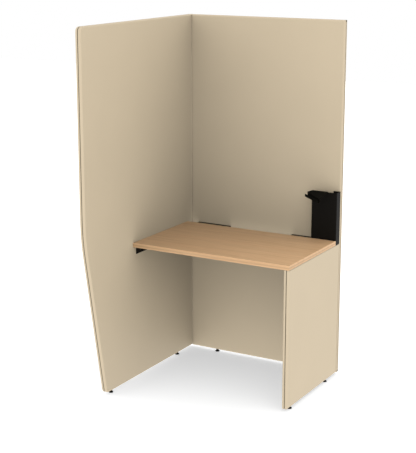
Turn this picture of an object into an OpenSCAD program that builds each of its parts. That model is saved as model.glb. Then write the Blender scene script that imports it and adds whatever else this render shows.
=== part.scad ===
// Booth desk for one person: a tall left panel with a cut-back front edge and a tall
// back panel meet at a corner, a low panel stands under the right end of the worktop,
// and a black sheet-steel post with a slot for a phone stands in the wiring gap.
// The origin is on the floor, below the middle of the outer box.
// X runs to the user's right, Y to the back panel and Z up. Sizes are in millimetres.

/* [Overall] */
// Outside width, from the left panel's outer face to the right end
overall_w = 885; // [700:5:1300]
// Depth of the tall left panel at its top
overall_d = 1000; // [800:5:1400]
// Height of the tall panels above the floor
overall_h = 1800; // [1300:10:2200]
// Clearance of every panel above the floor
ground_gap = 15; // [15:0.5:20]

/* [Panels] */
// Thickness of each panel over both skins
panel_t = 30; // [26:1:40]
// Sheet thickness of the pressed skins
skin_t = 0.8; // [0.6:0.1:1.5]
// Radius of the rounded shoulder along a skin's edge
shoulder_r = 7; // [3:0.5:9]
// Width of the groove between the two skins of a panel
seam_w = 4; // [2:0.5:8]
// Corner radius at the left panel's front, top and bottom
front_corner_r = 22; // [8:1:60]
// Depth of the left panel at floor level
bottom_d = 850; // [650:5:1000]
// Height above the floor at which the front edge starts to slope back
bend_h = 820; // [600:10:1100]
// Radius that blends the upright and the sloping front edge
bend_r = 1000; // [100:50:1500]
// Depth of the low side panel in front of the back panel
side_d = 568; // [450:1:800]

/* [Edge channels] */
// Width of the steel edge channel inside each panel
channel_w = 22; // [21:1:40]
// Sheet thickness of the edge channel
channel_t = 1.2; // [0.8:0.1:2]
// Width of the upright stiffeners between the skins
stiffener_w = 30; // [15:1:60]
// Sheet thickness of the stiffeners
stiffener_t = 0.8; // [0.5:0.1:1.5]
// Number of stiffeners in each of the two tall panels
tall_stiffener_count = 3; // [1:1:6]
// Number of stiffeners in the low side panel
side_stiffener_count = 2; // [1:1:4]

/* [Worktop] */
// Height of the worktop's upper face above the floor
desk_h = 720; // [650:5:1050]
// Thickness of the worktop over its laminates
desk_t = 23; // [18:1:38]
// Depth of the worktop, front edge to rear edge
desk_d = 526; // [400:1:750]
// Gap for wiring between the worktop and the back panel
wiring_gap = 46; // [30:1:90]
// Gap between the worktop and the left panel
desk_end_gap = 0.5; // [0.2:0.1:3]
// Thickness of the upper laminate
laminate_t = 0.8; // [0.5:0.1:1.5]
// Thickness of the backing sheet underneath
backing_t = 0.6; // [0.3:0.1:1.5]
// Thickness of the edge band round the worktop
band_t = 2; // [1:0.5:3]
// Rounding of the edge band's upper and lower edges
band_r = 2; // [0.5:0.5:4]

/* [Worktop supports] */
// Leg of the support angle on the left panel
angle_leg = 40; // [30:1:60]
// Sheet thickness of the support angle and the brackets
angle_t = 2.3; // [1.6:0.1:4]
// Distance of the angle's front end behind the worktop's front edge
angle_setback = 27; // [5:1:80]
// Length of the support angle
angle_len = 470; // [250:5:500]
// Number of screws along the support angle
angle_screws = 4; // [2:1:6]
// Leg of the two brackets on the low side panel
bracket_leg = 50; // [48:1:70]
// Width of those brackets
bracket_w = 60; // [40:5:100]
// Distance of the brackets' middles from the worktop's front and rear edges
bracket_inset = 90; // [50:5:180]
// Inside radius of every sheet-steel bend
bend_in_r = 1.5; // [0.5:0.5:3]

/* [Device post] */
// Width of the post's front wall
post_w = 136; // [100:1:200]
// Height of the post above the worktop
post_rise = 242; // [120:1:500]
// Sheet thickness of the post and the device rest
post_t = 1.6; // [1:0.1:3]
// Width of the post's fixing flange on the back panel
post_flange_w = 38; // [28:1:60]
// Depth of the turned-back edge at the post's left side
post_return = 15; // [8:1:30]
// Width of the foot flange under the worktop
post_foot_w = 25; // [18:1:40]
// Clearance between the post and the worktop's rear edge
post_gap = 0.5; // [0.3:0.1:2]
// Number of screws through the fixing flange
post_screws = 3; // [2:1:5]

/* [Device rest] */
// Width of the rest's plate where it leaves the post
rest_w = 89; // [60:1:115]
// How far the plate's front left corner stands out past the post
rest_side = 8; // [0:1:15]
// How far the plate reaches forward at its left end
rest_reach = 29.5; // [15:0.5:80]
// Turn of the slot away from the worktop's length, in degrees
rest_turn = 42; // [20:1:60]
// Length of the slot for the device
slot_len = 154; // [110:1:180]
// Width of the slot over its walls
slot_w = 15; // [11:0.5:24]
// Height of the lip in front of the slot
lip_h = 15; // [8:0.5:22]
// Depth of the slot's floor below the plate
slot_drop = 25.6; // [22:0.2:40]
// Forward fall of the plate, in degrees
rest_fall = 3.8; // [1:0.1:8]

/* [Feet] */
// Radius of a foot's pad
pad_r = 12; // [9:0.5:15]
// Height of a foot's pad
pad_h = 8; // [6:0.5:10]
// Radius of the threaded stud
stud_r = 4; // [3:0.5:5]
// Thread pitch of the stud
stud_pitch = 1.25; // [1:0.25:1.5]
// Number of turns by which a foot can be screwed out
foot_turns = 8; // [4:1:8]
// Distance of the front feet behind the panels' front ends
foot_front_inset = 55; // [30:1:150]
// Distance of the left panel's rear foot in front of the back panel
foot_left_rear = 135; // [60:1:250]
// Distance of the back panel's feet from its ends
foot_back_inset = 150; // [60:1:300]
// Distance of the side panel's rear foot in front of the back panel
foot_side_rear = 110; // [60:1:250]

/* [Fasteners] */
// Radius of the machine screws that hold brackets to the panels
screw_r = 2.5; // [2:0.5:3]
// Radius of the wood screws into the worktop
wood_screw_r = 2; // [1.5:0.5:2.5]
// Length of a wood screw below its head
wood_screw_len = 16; // [10:1:18]
// Radius of the bolts that join the panels
bolt_r = 3; // [2.5:0.5:4]
// Running clearance of a screw in its thread, on the radius
thread_gap = 0.05; // [0.02:0.01:0.1]
// Clearance of a screw in a plain hole, on the radius
hole_gap = 0.3; // [0.2:0.1:0.6]
// Height of the upper joint bolt below the panels' top
joint_top = 150; // [80:10:300]
// Height of the lower joint bolts above the floor
joint_low = 150; // [80:10:300]

/* [Hidden] */
$fn = 48;
eps = 0.01;

// Colours of the finishes
beige = [0.83, 0.76, 0.65];
beige_dark = [0.55, 0.49, 0.40];
oak = [0.80, 0.65, 0.46];
oak_edge = [0.85, 0.69, 0.49];
chip = [0.70, 0.57, 0.40];
black = [0.09, 0.09, 0.10];
zinc = [0.66, 0.67, 0.69];

// Faces of the panels
left_x0 = -overall_w / 2;
left_x1 = left_x0 + panel_t;
right_x1 = overall_w / 2;
right_x0 = right_x1 - panel_t;
front_y = -overall_d / 2;
back_y1 = overall_d / 2;
back_y0 = back_y1 - panel_t;
left_mid = (left_x0 + left_x1) / 2;
back_mid = (back_y0 + back_y1) / 2;
side_mid = (right_x0 + right_x1) / 2;
side_y0 = back_y0 - side_d;

// Faces of the worktop
desk_z0 = desk_h - desk_t;
desk_x0 = left_x1 + desk_end_gap;
desk_y1 = back_y0 - wiring_gap;
desk_y0 = desk_y1 - desk_d;
board_z0 = desk_z0 + backing_t;
board_z1 = desk_h - laminate_t;

// Panel outlines in length and height, anticlockwise, with a radius for each corner
left_corners = [
    [back_y1 - bottom_d, ground_gap], [back_y1, ground_gap], [back_y1, overall_h],
    [front_y, overall_h], [front_y, bend_h]
];
left_radii = [front_corner_r, 0, 0, front_corner_r, bend_r];
back_corners = [
    [left_x1, ground_gap], [right_x1, ground_gap], [right_x1, overall_h], [left_x1, overall_h]
];
side_corners = [
    [side_y0, ground_gap], [back_y0, ground_gap], [back_y0, desk_z0], [side_y0, desk_z0]
];
square_radii = [0, 0, 0, 0];
arc_steps = 5;
shoulder_steps = 8;
pan_d = (panel_t - seam_w) / 2;
seam_depth = shoulder_r;
channel_end = seam_depth + channel_w;
plug_side = 9;
plug_w = 9;
plug_gap = 0.15;

// Rivet nuts behind the skins, and the pockets that clear them
nut_r = screw_r + 1;
nut_collar_r = screw_r + 2;
nut_collar_t = 1.5;
nut_len = 13;
pocket_gap = 0.5;
truss_r = screw_r * 2;
truss_h = screw_r;
panel_screw_len = 13;

// Screws on the support angle, the side brackets and the post
angle_rear_gap = 5;
angle_y0 = desk_y0 + angle_setback;
angle_y1 = min(angle_y0 + angle_len, desk_y1 - angle_rear_gap);
angle_end = 35;
angle_screw_z = desk_z0 - angle_leg * 0.55;
left_fixings = [for (i = [0 : angle_screws - 1])
    [angle_y0 + angle_end + i * (angle_y1 - angle_y0 - 2 * angle_end) / (angle_screws - 1), angle_screw_z]];
bracket_ys = [desk_y0 + bracket_inset, desk_y1 - bracket_inset];
bracket_screw_z = desk_z0 - bracket_leg * 0.72;
bracket_half = bracket_w / 4;
side_fixings = [for (y = bracket_ys, s = [-1, 1]) [y + s * bracket_half, bracket_screw_z]];
post_z0 = desk_z0;
post_z1 = desk_h + post_rise;
post_x0 = right_x1 - post_w;
post_y0 = desk_y1 + post_gap;
post_screw_x = right_x1 - post_flange_w / 2;
post_screw_rise = 30;
post_screw_drop = 40;
post_screw_z0 = desk_h + post_screw_rise;
post_screw_z1 = post_z1 - post_screw_drop;
back_fixings = [for (i = [0 : post_screws - 1])
    [post_screw_x, post_screw_z0 + i * (post_screw_z1 - post_screw_z0) / (post_screws - 1)]];

// Wood screws up into the worktop: x, y and the face under the head
wood_head_r = wood_screw_r * 2;
wood_head_h = wood_screw_r;
wood_pilot = wood_screw_len + 1;
angle_wood_end = 60;
post_foot_end = 12;
angle_wood_x = left_x1 + angle_leg * 0.6;
bracket_wood_x = right_x0 - bracket_leg * 0.6;
post_foot_x0 = post_x0 + post_foot_end;
post_foot_x1 = right_x0 - post_foot_end;
post_foot_y0 = post_y0 - post_foot_w;
foot_screw_y = post_y0 - post_foot_w * 0.6;
angle_wood_ys = [angle_y0 + angle_wood_end, (angle_y0 + angle_y1) / 2, angle_y1 - angle_wood_end];
wood_points = concat(
    [for (y = angle_wood_ys) [angle_wood_x, y, desk_z0 - angle_t]],
    [for (y = bracket_ys, s = [-1, 1]) [bracket_wood_x, y + s * bracket_half, desk_z0 - angle_t]],
    [for (s = [0.2, 0.8]) [post_foot_x0 + s * (post_foot_x1 - post_foot_x0), foot_screw_y, desk_z0 - post_t]]
);

// Bolts that join the panels: the corner has three, the low panel two
side_bolt_drop = 90;
corner_bolts = [joint_low, (joint_low + overall_h - joint_top) / 2, overall_h - joint_top];
side_bolts = [joint_low, desk_z0 - side_bolt_drop];
bolt_head_r = bolt_r * 1.65;
bolt_head_h = bolt_r * 1.1;
bolt_nut_r = bolt_r * 1.9;
bolt_nut_h = bolt_r * 1.7;
bolt_end = 4;
web_in = seam_depth + channel_t;
bolt_len = panel_t + web_in + bolt_nut_h + bolt_end;
cap_t = 1.5;
cap_gap = 0.1;
sleeve_r = bolt_head_r + 1.4;
sleeve_len = panel_t - skin_t - channel_t;

// Device rest: the plate's front corner, the slot's direction and its heights
rest_inset = 1;
rest_x0 = post_x0 + rest_inset;
rest_x1 = rest_x0 + rest_w;
rest_corner = [post_x0 - rest_side, post_y0 - rest_reach];
slot_dir = [cos(rest_turn), -sin(rest_turn)];
slot_out = [-sin(rest_turn), -cos(rest_turn)];
slot_floor_z = post_z1 - slot_drop;
rest_tab_h = 22;
rest_fixing_z = post_z1 - rest_tab_h * 0.55;
tab_gap = 3;
tab_stud_end = 14;
tab_x0 = post_x0 + post_t + 2 * bend_in_r + tab_gap;
tab_x1 = rest_x1 - tab_gap;
rest_fixing_xs = [tab_x0 + tab_stud_end, tab_x1 - tab_stud_end];
post_stud_r = 2;
post_stud_end = 1.5;
rest_nut_h = 3;

// Feet: name, place in plan, and the levels of their parts
feet = [
    ["left_front", left_mid, back_y1 - bottom_d + foot_front_inset],
    ["left_rear", left_mid, back_y0 - foot_left_rear],
    ["back_left", left_x1 + foot_back_inset, back_mid],
    ["back_right", right_x1 - foot_back_inset, back_mid],
    ["side_front", side_mid, side_y0 + foot_front_inset],
    ["side_rear", side_mid, back_y0 - foot_side_rear]
];
socket_z = 3;
seat_gap = 0.3;
socket_r = stud_r + thread_gap;
pad_neck_r = stud_r + 2.5;
collar_r = stud_r * 1.75;
collar_z0 = pad_h + seat_gap;
collar_z1 = ground_gap - seat_gap;
stud_z0 = socket_z + seat_gap;
web_z = ground_gap + seam_depth;
foot_nut_z0 = web_z + channel_t;
foot_nut_h = 6.5;
foot_travel = foot_turns * stud_pitch;
stud_end = 2;
stud_z1 = foot_nut_z0 + foot_nut_h + foot_travel + stud_end;
foot_nut_r = stud_r * 1.85;
foot_hole_r = stud_r + hole_gap;

// Straight-line helpers
function unit(v) = v / norm(v);
function left_of(v) = [-v[1], v[0]];
function turn_angle(a, b) = (a[0] * b[1] - a[1] * b[0] >= 0 ? 1 : -1) * acos(min(1, max(-1, a * b)));
function heading(v) = atan2(v[1], v[0]);
function on_circle(c, r, angle) = [c[0] + r * cos(angle), c[1] + r * sin(angle)];

// One corner of a convex outline, moved in by the inset and rounded with what is left
// of its radius. The arc's centre stays where it is for every inset.
function corner_points(p, a, b, radius, inset) =
    let (
        na = left_of(a),
        nb = left_of(b),
        mitre = (na + nb) / (1 + na * nb),
        r = radius - inset,
        start = heading(-na),
        sweep = turn_angle(a, b)
    )
    r <= eps
        ? [p + mitre * inset]
        : [for (i = [0 : arc_steps]) on_circle(p + mitre * radius, r, start + sweep * i / arc_steps)];

// A convex, anticlockwise outline with rounded corners, moved in all round
function outline(corners, radii, inset = 0) =
    let (n = len(corners))
    [for (i = [0 : n - 1])
        let (
            p = corners[i],
            a = unit(p - corners[(i + n - 1) % n]),
            b = unit(corners[(i + 1) % n] - p)
        )
        each corner_points(p, a, b, radii[i], inset)];

// One face of a bent sheet: its ends are square and each bend is an arc about the bend's
// own centre. The sheet lies to the left of the path, and side is 0 for the path's own
// face and 1 for the other.
function sheet_face(path, t, side) =
    let (n = len(path))
    [for (i = [0 : n - 1])
        let (
            a = unit(i == 0 ? path[1] - path[0] : path[i] - path[i - 1]),
            b = unit(i == n - 1 ? path[i] - path[i - 1] : path[i + 1] - path[i]),
            na = left_of(a),
            nb = left_of(b),
            sweep = turn_angle(a, b),
            leftwards = sweep > 0,
            near = leftwards ? bend_in_r + t : bend_in_r,
            far = leftwards ? bend_in_r : bend_in_r + t,
            centre = path[i] + (leftwards ? 1 : -1) * near * (na + nb) / (1 + na * nb),
            r = side == 0 ? near : far,
            start = heading(leftwards ? -na : na)
        )
        each (i == 0 || i == n - 1
            ? [path[i] + na * t * side]
            : [for (k = [0 : arc_steps]) on_circle(centre, r, start + sweep * k / arc_steps)])];

function reversed(list) = [for (i = [len(list) - 1 : -1 : 0]) list[i]];

// Closed outline of a bent sheet of thickness t along a path
function bent_sheet(path, t) = concat(sheet_face(path, t, 0), reversed(sheet_face(path, t, 1)));

// Places a panel drawn in length and height, with its outer face at zero thickness
module left_place() {
    translate([left_x0, 0, 0]) rotate([90, 0, 90]) children();
}

module back_place() {
    translate([0, back_y1, 0]) rotate([90, 0, 0]) children();
}

module side_place() {
    translate([right_x1, 0, 0]) mirror([1, 0, 0]) rotate([90, 0, 90]) children();
}

// A slab with one shoulder rounded all round, moved in by the inset on every face. Each
// edge of the outline is a long bar with that shoulder, and the slab is what they share.
module slab(corners, radii, inset, top) {
    points = outline(corners, radii);
    n = len(points);
    reach = overall_h + overall_d;
    profile = concat(
        [[reach, inset], [reach, top], [inset, top]],
        [for (i = [0 : shoulder_steps])
            on_circle([shoulder_r, shoulder_r], shoulder_r - inset, 180 + 90 * i / shoulder_steps)]
    );
    intersection_for(i = [0 : n - 1])
        translate(points[i]) rotate([0, 0, heading(points[(i + 1) % n] - points[i])])
            rotate([90, 0, 90]) linear_extrude(2 * reach, center = true) polygon(profile);
}

// One pressed skin: a shallow pan whose rim ends at the groove
module pan(corners, radii) {
    difference() {
        slab(corners, radii, 0, pan_d);
        slab(corners, radii, skin_t, pan_d + 1);
    }
}

module far_side() {
    translate([0, 0, panel_t]) mirror([0, 0, 1]) children();
}

// Steel channel round a panel's edge, open to the inside, its web in the groove
module edge_channel(corners, radii) {
    difference() {
        translate([0, 0, skin_t])
            linear_extrude(panel_t - 2 * skin_t) polygon(outline(corners, radii, seam_depth));
        translate([0, 0, skin_t - 1])
            linear_extrude(panel_t) polygon(outline(corners, radii, channel_end));
        translate([0, 0, skin_t + channel_t])
            linear_extrude(panel_t - 2 * (skin_t + channel_t))
                polygon(outline(corners, radii, seam_depth + channel_t));
    }
}

// Blocks at the back panel's two free corners: side is measured from the corner along both
// edges, and width across the panel's middle
module back_corner_blocks(side, width) {
    for (z = [ground_gap - 1, overall_h - side])
        translate([right_x1 - side, z, (panel_t - width) / 2]) cube([side + 1, side + 1, width]);
}

// Upright C-shaped stiffeners spread evenly between two ends, from skin to skin
module stiffeners(a, b, top, count) {
    depth = panel_t - 2 * skin_t;
    for (i = [1 : count])
        translate([a + i * (b - a) / (count + 1) - stiffener_w / 2, ground_gap + channel_end, skin_t])
            rotate([-90, 0, 0]) mirror([0, 1, 0]) linear_extrude(top - ground_gap - 2 * channel_end)
                difference() {
                    square([stiffener_w, depth]);
                    translate([stiffener_t, stiffener_t]) square([stiffener_w, depth - 2 * stiffener_t]);
                }
}

// Upright holes for the feet that a panel carries, from the floor to a height
module foot_holes(r, z1) {
    for (f = feet) translate([f[1], f[2], 0]) cylinder(h = z1, r = r);
}

// Places something on each fixing of a panel, its Z pointing into the panel
module at_left_fixings() {
    for (p = left_fixings) translate([left_x1, p[0], p[1]]) rotate([0, -90, 0]) children();
}

module at_side_fixings() {
    for (p = side_fixings) translate([right_x0, p[0], p[1]]) rotate([0, 90, 0]) children();
}

module at_back_fixings() {
    for (p = back_fixings) translate([p[0], back_y0, p[1]]) rotate([-90, 0, 0]) children();
}

module nut_hole() {
    translate([0, 0, -1]) cylinder(h = nut_len + 2, r = nut_r + thread_gap);
}

module nut_pocket() {
    cylinder(h = nut_len + nut_collar_t, r = nut_collar_r + pocket_gap);
}

// Places something on each joint bolt, its Z pointing from the outer face inwards
module at_corner_bolts() {
    for (z = corner_bolts) translate([left_x0, back_mid, z]) rotate([0, 90, 0]) children();
}

module at_side_bolts() {
    for (z = side_bolts) translate([side_mid, back_y1, z]) rotate([90, 0, 0]) children();
}

// Way for a joint bolt: wide for its sleeve at first, then only as wide as the shank
module bolt_way() {
    translate([0, 0, -1]) cylinder(h = panel_t / 2 + 1, r = sleeve_r + thread_gap);
    cylinder(h = bolt_len + 1, r = bolt_r + hole_gap);
}

module left_outer_skin() {
    color(beige) difference() {
        left_place() pan(left_corners, left_radii);
        foot_holes(foot_hole_r + hole_gap, web_z);
        at_corner_bolts() bolt_way();
    }
}

module left_inner_skin() {
    color(beige) difference() {
        left_place() far_side() pan(left_corners, left_radii);
        foot_holes(foot_hole_r + hole_gap, web_z);
        at_corner_bolts() bolt_way();
        at_left_fixings() nut_hole();
    }
}

module left_edge_channel() {
    color(beige_dark) difference() {
        left_place() edge_channel(left_corners, left_radii);
        foot_holes(foot_hole_r, foot_nut_z0 + 1);
        at_corner_bolts() bolt_way();
    }
}

module left_stiffeners() {
    color(zinc) difference() {
        left_place() stiffeners(back_y1 - bottom_d, back_y1, overall_h, tall_stiffener_count);
        at_left_fixings() nut_pocket();
    }
}

module back_rear_skin() {
    color(beige) difference() {
        back_place() pan(back_corners, square_radii);
        back_place() back_corner_blocks(plug_side + plug_gap, plug_w + 2 * plug_gap);
        foot_holes(foot_hole_r + hole_gap, web_z);
        at_corner_bolts() bolt_way();
        at_side_bolts() bolt_way();
    }
}

module back_front_skin() {
    color(beige) difference() {
        back_place() far_side() pan(back_corners, square_radii);
        back_place() back_corner_blocks(plug_side + plug_gap, plug_w + 2 * plug_gap);
        foot_holes(foot_hole_r + hole_gap, web_z);
        at_corner_bolts() bolt_way();
        at_side_bolts() bolt_way();
        at_back_fixings() nut_hole();
    }
}

module back_edge_channel() {
    color(beige_dark) difference() {
        back_place() edge_channel(back_corners, square_radii);
        foot_holes(foot_hole_r, foot_nut_z0 + 1);
        at_corner_bolts() bolt_way();
        at_side_bolts() bolt_way();
        at_back_fixings() nut_pocket();
    }
}

module back_stiffeners() {
    color(zinc) difference() {
        back_place() stiffeners(left_x1, right_x1, overall_h, tall_stiffener_count);
        at_back_fixings() nut_pocket();
    }
}

// Moulded plugs at the corners of the back panel's free end. They close the groove, let
// a little into both skins, and end on the edge channel.
module back_corner_plugs() {
    color(black) back_place() difference() {
        intersection() {
            linear_extrude(panel_t) polygon(outline(back_corners, square_radii));
            back_corner_blocks(plug_side, plug_w);
        }
        linear_extrude(panel_t) polygon(outline(back_corners, square_radii, seam_depth));
    }
}

module side_outer_skin() {
    color(beige) difference() {
        side_place() pan(side_corners, square_radii);
        foot_holes(foot_hole_r + hole_gap, web_z);
        at_side_bolts() bolt_way();
    }
}

module side_inner_skin() {
    color(beige) difference() {
        side_place() far_side() pan(side_corners, square_radii);
        foot_holes(foot_hole_r + hole_gap, web_z);
        at_side_bolts() bolt_way();
        at_side_fixings() nut_hole();
    }
}

module side_edge_channel() {
    color(beige_dark) difference() {
        side_place() edge_channel(side_corners, square_radii);
        foot_holes(foot_hole_r, foot_nut_z0 + 1);
        at_side_bolts() bolt_way();
    }
}

module side_stiffeners() {
    color(zinc) difference() {
        side_place() stiffeners(side_y0, back_y0, desk_z0, side_stiffener_count);
        at_side_fixings() nut_pocket();
    }
}

// Layer of the worktop inside its edge band, between two heights
module worktop_layer(z0, z1) {
    translate([desk_x0 + band_t, desk_y0 + band_t, z0])
        cube([right_x1 - desk_x0 - 2 * band_t, desk_d - 2 * band_t, z1 - z0]);
}

// Pilot holes for the wood screws
module wood_pilots() {
    for (p = wood_points)
        translate([p[0], p[1], desk_z0 - 1]) cylinder(h = wood_pilot + 1, r = wood_screw_r + thread_gap);
}

module worktop_board() {
    color(chip) difference() {
        worktop_layer(board_z0, board_z1);
        wood_pilots();
    }
}

module worktop_laminate() {
    color(oak) worktop_layer(board_z1, desk_h);
}

module worktop_backing() {
    color(oak) difference() {
        worktop_layer(desk_z0, board_z0);
        wood_pilots();
    }
}

// Section of the edge band's outer form between two ends, with its rounded edges
function band_section(a, b) = outline(
    [[a, desk_z0], [b, desk_z0], [b, desk_h], [a, desk_h]], [band_r, band_r, band_r, band_r]);

// Edge band: the worktop's rounded outer form less what lies inside it
module worktop_edge_band() {
    color(oak_edge) difference() {
        intersection() {
            translate([desk_x0, 0, 0]) rotate([90, 0, 90])
                linear_extrude(right_x1 - desk_x0) polygon(band_section(desk_y0, desk_y1));
            translate([0, desk_y1, 0]) rotate([90, 0, 0])
                linear_extrude(desk_d) polygon(band_section(desk_x0, right_x1));
        }
        worktop_layer(desk_z0 - 1, desk_h + 1);
    }
}

// Bent angle with its corner at the origin: one leg along X, one leg down, run along Y
module sheet_angle(leg_x, leg_z, run) {
    rotate([90, 0, 0]) linear_extrude(run, center = true)
        polygon(bent_sheet([[leg_x, 0], [0, 0], [0, -leg_z]], angle_t));
}

module support_angle() {
    clip = 10;
    color(black) difference() {
        translate([left_x1, (angle_y0 + angle_y1) / 2, desk_z0])
            sheet_angle(angle_leg, angle_leg, angle_y1 - angle_y0);
        at_left_fixings() translate([0, 0, -angle_t - 1]) cylinder(h = angle_t + 2, r = screw_r + hole_gap);
        for (y = angle_wood_ys)
            translate([angle_wood_x, y, desk_z0 - angle_t - 1])
                cylinder(h = angle_t + 2, r = wood_screw_r + hole_gap);
        for (y = [angle_y0, angle_y1])
            translate([left_x1 + angle_leg, y, desk_z0]) rotate([0, 0, 45])
                cube([clip, clip, 4 * angle_t], center = true);
    }
}

module side_brackets() {
    color(black) for (y = bracket_ys) difference() {
        translate([right_x0, y, desk_z0]) mirror([1, 0, 0]) sheet_angle(bracket_leg, bracket_leg, bracket_w);
        for (s = [-1, 1]) {
            translate([right_x0 - angle_t - 1, y + s * bracket_half, bracket_screw_z])
                rotate([0, 90, 0]) cylinder(h = angle_t + 2, r = screw_r + hole_gap);
            translate([bracket_wood_x, y + s * bracket_half, desk_z0 - angle_t - 1])
                cylinder(h = angle_t + 2, r = wood_screw_r + hole_gap);
        }
    }
}

// Rivet nut set flush in a skin, with its collar pulled up behind the sheet
module rivet_nut() {
    difference() {
        union() {
            cylinder(h = nut_len, r = nut_r);
            translate([0, 0, skin_t]) cylinder(h = nut_collar_t, r = nut_collar_r);
        }
        translate([0, 0, -1]) cylinder(h = nut_len + 2, r = screw_r + thread_gap);
    }
}

module rivet_nuts() {
    color(zinc) {
        at_left_fixings() rivet_nut();
        at_side_fixings() rivet_nut();
        at_back_fixings() rivet_nut();
    }
}

// Truss-head machine screw whose head sits on sheet of thickness t
module truss_screw(t) {
    translate([0, 0, -t]) rotate_extrude() polygon(concat(
        [[0, panel_screw_len], [screw_r, panel_screw_len], [screw_r, 0], [truss_r, 0]],
        [for (i = [1 : arc_steps]) let (angle = 90 * i / arc_steps) [truss_r * cos(angle), -truss_h * sin(angle)]]
    ));
}

module panel_screws() {
    color(black) {
        at_left_fixings() truss_screw(angle_t);
        at_side_fixings() truss_screw(angle_t);
        at_back_fixings() truss_screw(post_t);
    }
}

// Pan-head wood screw, head down and point up
module wood_screw() {
    tip = 3;
    rotate_extrude() polygon([
        [0, -wood_head_h], [wood_head_r * 0.7, -wood_head_h], [wood_head_r, -wood_head_h * 0.4],
        [wood_head_r, 0], [wood_screw_r, 0], [wood_screw_r, wood_screw_len - tip], [0, wood_screw_len]
    ]);
}

module wood_screws() {
    color(zinc) for (p = wood_points) translate(p) wood_screw();
}

// Cap-head bolt, its head sunk below the outer face
module joint_bolt() {
    translate([0, 0, cap_t]) cylinder(h = bolt_head_h, r = bolt_head_r);
    translate([0, 0, cap_t]) cylinder(h = bolt_len - cap_t, r = bolt_r);
}

module joint_bolts() {
    color(zinc) {
        at_corner_bolts() joint_bolt();
        at_side_bolts() joint_bolt();
    }
}

// Sleeve with a sunk seat for the bolt's head, which keeps the panel from being crushed
module joint_sleeve() {
    difference() {
        cylinder(h = sleeve_len, r = sleeve_r);
        translate([0, 0, -1]) cylinder(h = cap_t + bolt_head_h + 1, r = bolt_head_r + cap_gap);
        cylinder(h = sleeve_len + 1, r = bolt_r + hole_gap);
    }
}

module joint_sleeves() {
    color(zinc) {
        at_corner_bolts() joint_sleeve();
        at_side_bolts() joint_sleeve();
    }
}

// Hexagon nut of height h on a thread of radius r, standing on the XY plane
module hex_nut(across_r, h, r) {
    difference() {
        cylinder(h = h, r = across_r, $fn = 6);
        translate([0, 0, -1]) cylinder(h = h + 2, r = r + thread_gap);
    }
}

module joint_nuts() {
    color(zinc) {
        at_corner_bolts() translate([0, 0, panel_t + web_in]) hex_nut(bolt_nut_r, bolt_nut_h, bolt_r);
        at_side_bolts() translate([0, 0, panel_t + web_in]) hex_nut(bolt_nut_r, bolt_nut_h, bolt_r);
    }
}

// Flat plugs that close the sleeves, flush with the outer faces
module joint_caps() {
    color(beige) {
        at_corner_bolts() cylinder(h = cap_t, r = bolt_head_r + cap_gap);
        at_side_bolts() cylinder(h = cap_t, r = bolt_head_r + cap_gap);
    }
}

// Post: one sheet bent into a front wall, a right wall and a flange on the back panel,
// with a turned-back left edge and a foot flange that goes under the worktop
module device_post() {
    path = [
        [post_x0, post_y0 + post_return], [post_x0, post_y0], [right_x1, post_y0],
        [right_x1, back_y0], [right_x1 - post_flange_w, back_y0]
    ];
    foot_path = [
        [post_foot_y0, -post_t], [post_y0 + post_t, -post_t], [post_y0 + post_t, 3 * bend_in_r]
    ];
    color(black) difference() {
        union() {
            translate([0, 0, post_z0]) linear_extrude(post_z1 - post_z0) polygon(bent_sheet(path, post_t));
            translate([post_foot_x0, 0, desk_z0]) rotate([90, 0, 90])
                linear_extrude(post_foot_x1 - post_foot_x0) polygon(bent_sheet(foot_path, post_t));
        }
        at_back_fixings() translate([0, 0, -post_t - 1]) cylinder(h = post_t + 2, r = screw_r + hole_gap);
        for (p = wood_points)
            translate([p[0], p[1], desk_z0 - post_t - 1]) cylinder(h = post_t + 2, r = wood_screw_r + hole_gap);
        for (x = rest_fixing_xs)
            translate([x, post_y0 - 1, rest_fixing_z]) rotate([-90, 0, 0])
                cylinder(h = post_t + 2, r = post_stud_r + thread_gap);
    }
}

// Studs set flush in the post's front wall, which carry the device rest
module post_studs() {
    color(zinc) for (x = rest_fixing_xs)
        translate([x, post_y0, rest_fixing_z]) rotate([-90, 0, 0])
            cylinder(h = 2 * post_t + rest_nut_h + post_stud_end, r = post_stud_r);
}

module rest_nuts() {
    color(zinc) for (x = rest_fixing_xs)
        translate([x, post_y0 + 2 * post_t, rest_fixing_z]) rotate([-90, 0, 0])
            hex_nut(post_stud_r * 1.9, rest_nut_h, post_stud_r);
}

// Plane of the plate's upper face: it falls forwards from the post's front edge
module on_plate_plane() {
    translate([0, post_y0, post_z1 + post_t]) rotate([rest_fall, 0, 0]) translate([0, -post_y0, 0]) children();
}

// Slot in its own frame: X along the slot, Y away from the user, origin at the plate's corner
module slot_place() {
    translate([rest_corner[0], rest_corner[1], 0]) rotate([0, 0, -rest_turn]) children();
}

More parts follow.
